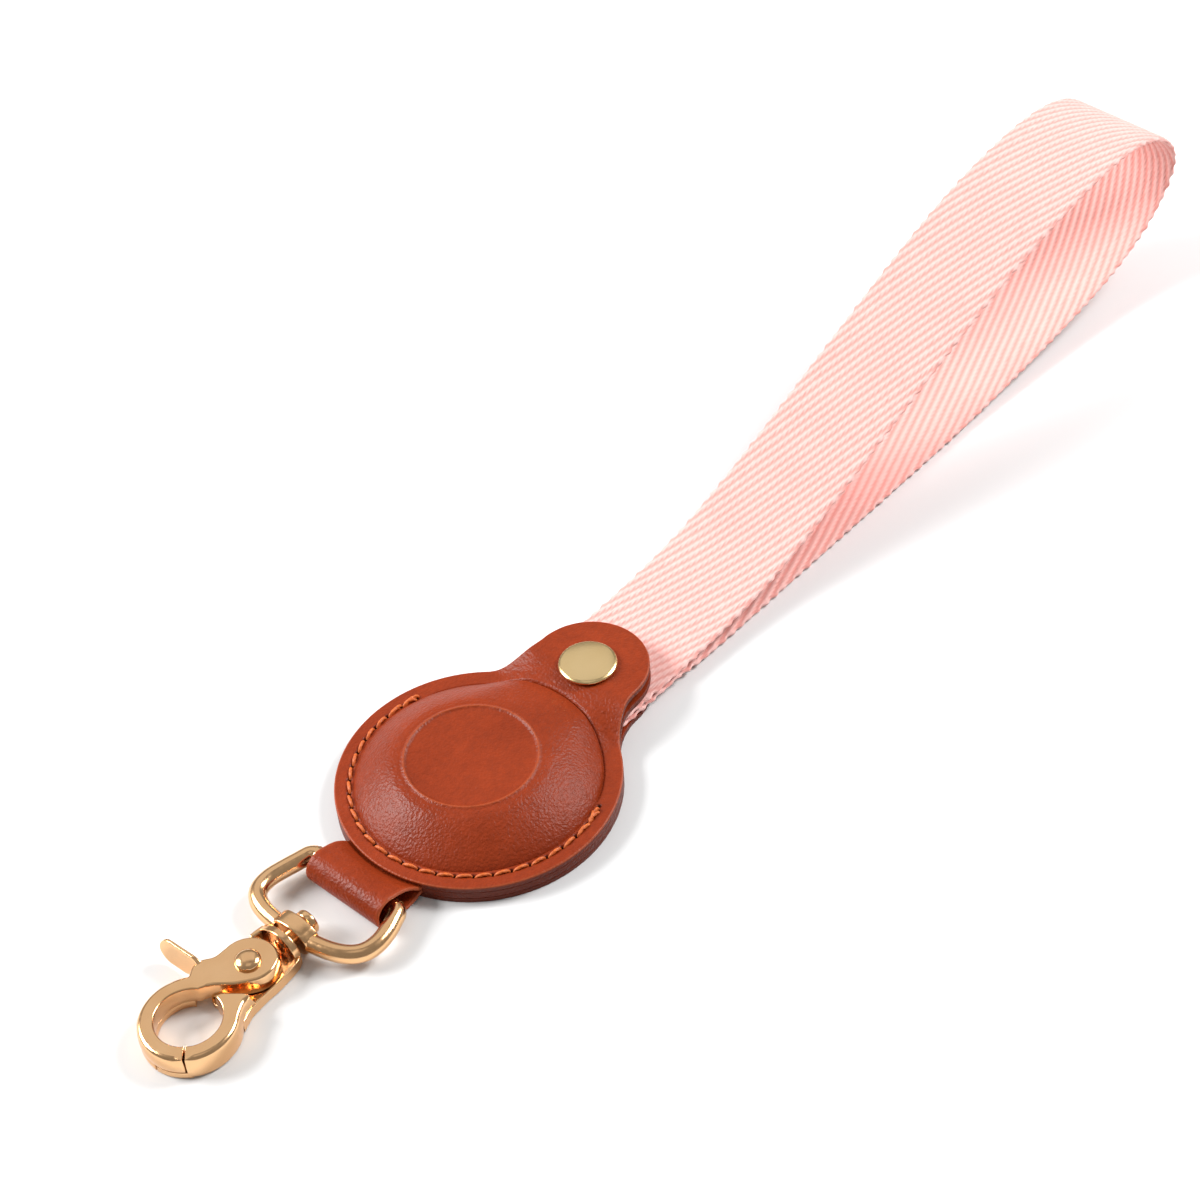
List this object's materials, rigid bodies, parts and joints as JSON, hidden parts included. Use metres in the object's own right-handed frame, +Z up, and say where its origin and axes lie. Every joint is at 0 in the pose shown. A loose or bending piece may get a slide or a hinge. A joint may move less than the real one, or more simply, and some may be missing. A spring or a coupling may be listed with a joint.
{
  "type": "wristlet keychain",
  "caption": "Wristlet keychain: webbing wrist loop, round domed leather case with snap flap, leather tab, D-ring and swivel trigger hook.",
  "frame": {"origin": "the middle of the object's length and of the case's width, on the surface that it lies on", "axes": "+X from the hook towards the wrist loop, +Z up out of the snap and the dome"},
  "size_m": [0.2592, 0.0468, 0.0344],
  "materials": {
    "leather": "smooth cognac leather with a fine grain and painted edges",
    "thread": "waxed orange sewing thread",
    "webbing": "blush pink twill webbing",
    "gold": "polished light gold plating on zinc alloy",
    "snap_brass": "polished pale brass plating",
    "spring_steel": "plain spring wire"
  },
  "bodies": {
    "case": {"back_panel": "leather", "middle_panel": "leather", "front_panel": "leather", "d_ring_tab": "leather", "seam_thread_top": "thread", "seam_thread_bottom": "thread", "strap_end_upper": "webbing", "strap_end_lower": "webbing", "snap_stud": "snap_brass", "snap_post": "snap_brass"},
    "flap": {"front_flap": "leather", "snap_cap": "snap_brass", "snap_socket": "snap_brass"},
    "strap": {"strap_loop": "webbing"},
    "ring": {"d_ring": "gold"},
    "hook": {"hook_body": "gold", "swivel_post": "gold", "pivot_rivet": "gold", "trigger_spring": "spring_steel"},
    "trigger": {"trigger_lever": "gold"}
  },
  "joints": [
    {"name": "snap_flap", "type": "hinge", "parent": "case", "child": "flap", "pos_m": [-0.04027, 0, 0.0055], "axis": [0, -1, 0], "range_deg": [0, 80]},
    {"name": "strap_flex", "type": "hinge", "parent": "case", "child": "strap", "pos_m": [-0.02091, 0, 0.0021], "axis": [0, -1, 0], "range_deg": [-55, 60]},
    {"name": "d_ring_pivot", "type": "hinge", "parent": "case", "child": "ring", "pos_m": [-0.08707, 0.00035, 0.0028], "axis": [0, 1, 0], "range_deg": [-25, 80]},
    {"name": "hook_swivel", "type": "hinge", "parent": "ring", "child": "hook", "pos_m": [-0.10011, 0.0005, 0.0028], "axis": [1, 0, 0], "continuous": true},
    {"name": "trigger_pivot", "type": "hinge", "parent": "hook", "child": "trigger", "pos_m": [-0.10912, 0.00095, 0.0047], "axis": [0, 0, 1], "range_deg": [-26, 0], "stiffness_Nm_per_rad": 0.02, "springref_deg": 28.65}
  ]
}
